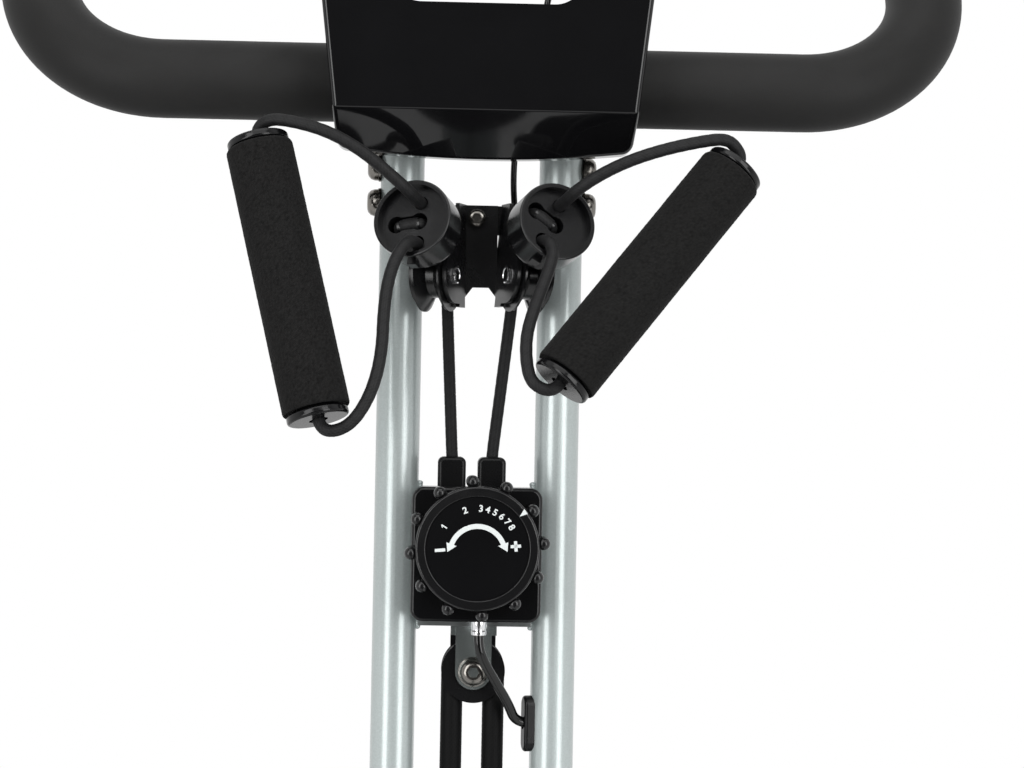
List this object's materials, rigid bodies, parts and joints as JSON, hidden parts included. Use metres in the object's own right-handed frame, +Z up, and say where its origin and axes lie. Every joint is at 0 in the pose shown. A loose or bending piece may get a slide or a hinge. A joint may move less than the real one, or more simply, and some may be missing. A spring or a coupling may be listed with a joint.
{
  "type": "exercise bike",
  "caption": "Folding upright exercise bike: twin-tube post with pull handles on elastic arm bands, tension knob, horned handlebar and console, saddle, cranks and flywheel drive.",
  "frame": {"origin": "on the floor, under the middle of the bike's bounding box", "axes": "+Z up, +Y the way the rider faces, +X the rider's right"},
  "size_m": [0.493, 0.834, 1.1237],
  "materials": {
    "silver_paint": "satin silver-grey coat",
    "black_paint": "satin black coat",
    "steel": "zinc plated",
    "chrome": "bright",
    "cast": "turned",
    "foam": "soft closed foam",
    "black_rubber": "matt",
    "black_plastic": "fine grain",
    "gloss_black": "polished",
    "grey_plastic": "fine grain",
    "rope": "woven sleeve",
    "vinyl": "padded vinyl",
    "lens": "clear window",
    "belt": "ribbed belt"
  },
  "bodies": {
    "main_frame": {"main_tube": "silver_paint", "front_stabilizer": "black_paint", "front_end_caps": "black_plastic", "housing_left": "black_plastic", "housing_right": "black_plastic", "drive_mount": "steel", "drive_belt": "belt", "crank_bearings": "steel", "frame_fasteners": "steel", "frame_bushes": "black_plastic"},
    "post": {"pivot_axle": "steel", "post_tube_left": "silver_paint", "post_tube_right": "silver_paint", "rear_stabilizer": "black_paint", "rear_end_caps": "black_plastic", "handlebar_tube": "black_paint", "handlebar_foam": "foam", "handlebar_stem": "black_paint", "post_fasteners": "chrome", "device_holder": "gloss_black", "console_body": "black_plastic", "console_lens": "lens", "sensor_cable": "black_rubber", "pulley_bracket": "black_paint", "post_grommets": "black_rubber", "knob_bracket": "silver_paint", "knob_housing": "black_plastic", "tension_cable": "black_rubber", "arm_bands": "rope"},
    "crank": {"crank_shafts": "steel", "crank_arms": "black_paint", "drive_pulley": "black_plastic"},
    "left_pedal": {"pedal_left": "black_plastic", "pedal_strap_left": "black_rubber"},
    "right_pedal": {"pedal_right": "black_plastic", "pedal_strap_right": "black_rubber"},
    "flywheel": {"flywheel": "cast"},
    "magnet": {"magnet_bracket": "steel"},
    "seat": {"seat_post": "silver_paint", "seat_cushion": "vinyl"},
    "seat_lock": {"seat_pin": "black_plastic"},
    "fold_lock": {"fold_pin": "black_plastic"},
    "left_wheel": {"transport_wheel_left": "black_plastic"},
    "right_wheel": {"transport_wheel_right": "black_plastic"},
    "knob": {"tension_knob": "black_plastic"},
    "button": {"console_button": "grey_plastic"},
    "block": {"band_block": "steel"},
    "loop_wheel": {"band_pulley": "black_plastic"},
    "left_handle": {"lead_cord_left": "rope", "cup_left": "black_plastic", "handle_cord_left": "rope", "grip_left": "foam", "grip_core_left": "gloss_black"},
    "right_handle": {"lead_cord_right": "rope", "cup_right": "black_plastic", "handle_cord_right": "rope", "grip_right": "foam", "grip_core_right": "gloss_black"},
    "left_cord_wheel": {"cord_pulley_left": "black_plastic"},
    "right_cord_wheel": {"cord_pulley_right": "black_plastic"}
  },
  "joints": [
    {"name": "fold", "type": "hinge", "parent": "main_frame", "child": "post", "pos_m": [0, 0.02, 0.45], "axis": [1, 0, 0], "range_deg": [0, 28]},
    {"name": "crank_turn", "type": "hinge", "parent": "main_frame", "child": "crank", "pos_m": [0, 0.12768, 0.2658], "axis": [1, 0, 0], "continuous": true},
    {"name": "flywheel_turn", "type": "hinge", "parent": "main_frame", "child": "flywheel", "pos_m": [0, 0.30109, 0.31527], "axis": [1, 0, 0], "continuous": true},
    {"name": "magnet_swing", "type": "hinge", "parent": "main_frame", "child": "magnet", "pos_m": [0, 0.26966, 0.27014], "axis": [-1, 0, 0], "range_deg": [0, 3]},
    {"name": "seat_height", "type": "slide", "parent": "main_frame", "child": "seat", "axis": [0, -0.6494, 0.7604], "range_m": [0, 0.12]},
    {"name": "seat_pin_pull", "type": "slide", "parent": "main_frame", "child": "seat_lock", "axis": [0, 0.7604, 0.6494], "range_m": [-0.008, 0]},
    {"name": "fold_pin_pull", "type": "slide", "parent": "post", "child": "fold_lock", "axis": [-1, 0, 0], "range_m": [-0.008, 0]},
    {"name": "knob_turn", "type": "hinge", "parent": "post", "child": "knob", "pos_m": [0, 0.11672, 0.77881], "axis": [0, -0.9272, 0.3746], "range_deg": [0, 110]},
    {"name": "button_press", "type": "slide", "parent": "post", "child": "button", "axis": [0, 0.9272, -0.3746], "range_m": [0, 0.002], "stiffness_N_per_m": 300},
    {"name": "block_rise", "type": "slide", "parent": "post", "child": "block", "axis": [0, 0.3746, 0.9272], "range_m": [0, 0.045], "stiffness_N_per_m": 400, "deforming": ["arm_bands"]},
    {"name": "loop_wheel_turn", "type": "hinge", "parent": "block", "child": "loop_wheel", "pos_m": [0, 0.12844, 0.70505], "axis": [0, -0.9272, 0.3746], "continuous": true},
    {"name": "left_pedal_turn", "type": "hinge", "parent": "crank", "child": "left_pedal", "pos_m": [-0.127, 0.01022, 0.30855], "axis": [1, 0, 0], "continuous": true},
    {"name": "left_wheel_turn", "type": "hinge", "parent": "main_frame", "child": "left_wheel", "pos_m": [-0.215, 0.397, 0.027], "axis": [1, 0, 0], "continuous": true},
    {"name": "left_pull", "type": "slide", "parent": "post", "child": "left_handle", "axis": [-0.33, -0.7375, 0.5892], "range_m": [0, 0.45], "stiffness_N_per_m": 60, "deforming": ["lead_cord_left"]},
    {"name": "left_cord_wheel_turn", "type": "hinge", "parent": "post", "child": "left_cord_wheel", "pos_m": [-0.022, 0.17349, 0.89932], "axis": [0.9411, -0.3055, 0.1446], "continuous": true},
    {"name": "right_pedal_turn", "type": "hinge", "parent": "crank", "child": "right_pedal", "pos_m": [0.127, 0.24514, 0.22304], "axis": [1, 0, 0], "continuous": true},
    {"name": "right_wheel_turn", "type": "hinge", "parent": "main_frame", "child": "right_wheel", "pos_m": [0.215, 0.397, 0.027], "axis": [1, 0, 0], "continuous": true},
    {"name": "right_pull", "type": "slide", "parent": "post", "child": "right_handle", "axis": [0.33, -0.7375, 0.5892], "range_m": [0, 0.45], "stiffness_N_per_m": 60, "deforming": ["lead_cord_right"]},
    {"name": "right_cord_wheel_turn", "type": "hinge", "parent": "post", "child": "right_cord_wheel", "pos_m": [0.022, 0.17349, 0.89932], "axis": [-0.9439, -0.268, 0.1931], "continuous": true}
  ],
  "couplings": [
    {"joint": "flywheel_turn", "follows": "crank_turn", "ratio": 6.5714},
    {"joint": "magnet_swing", "follows": "knob_turn", "ratio": 0.027273},
    {"joint": "left_cord_wheel_turn", "follows": "left_pull", "rad_per_m": 68.966},
    {"joint": "right_cord_wheel_turn", "follows": "right_pull", "rad_per_m": -68.966}
  ]
}
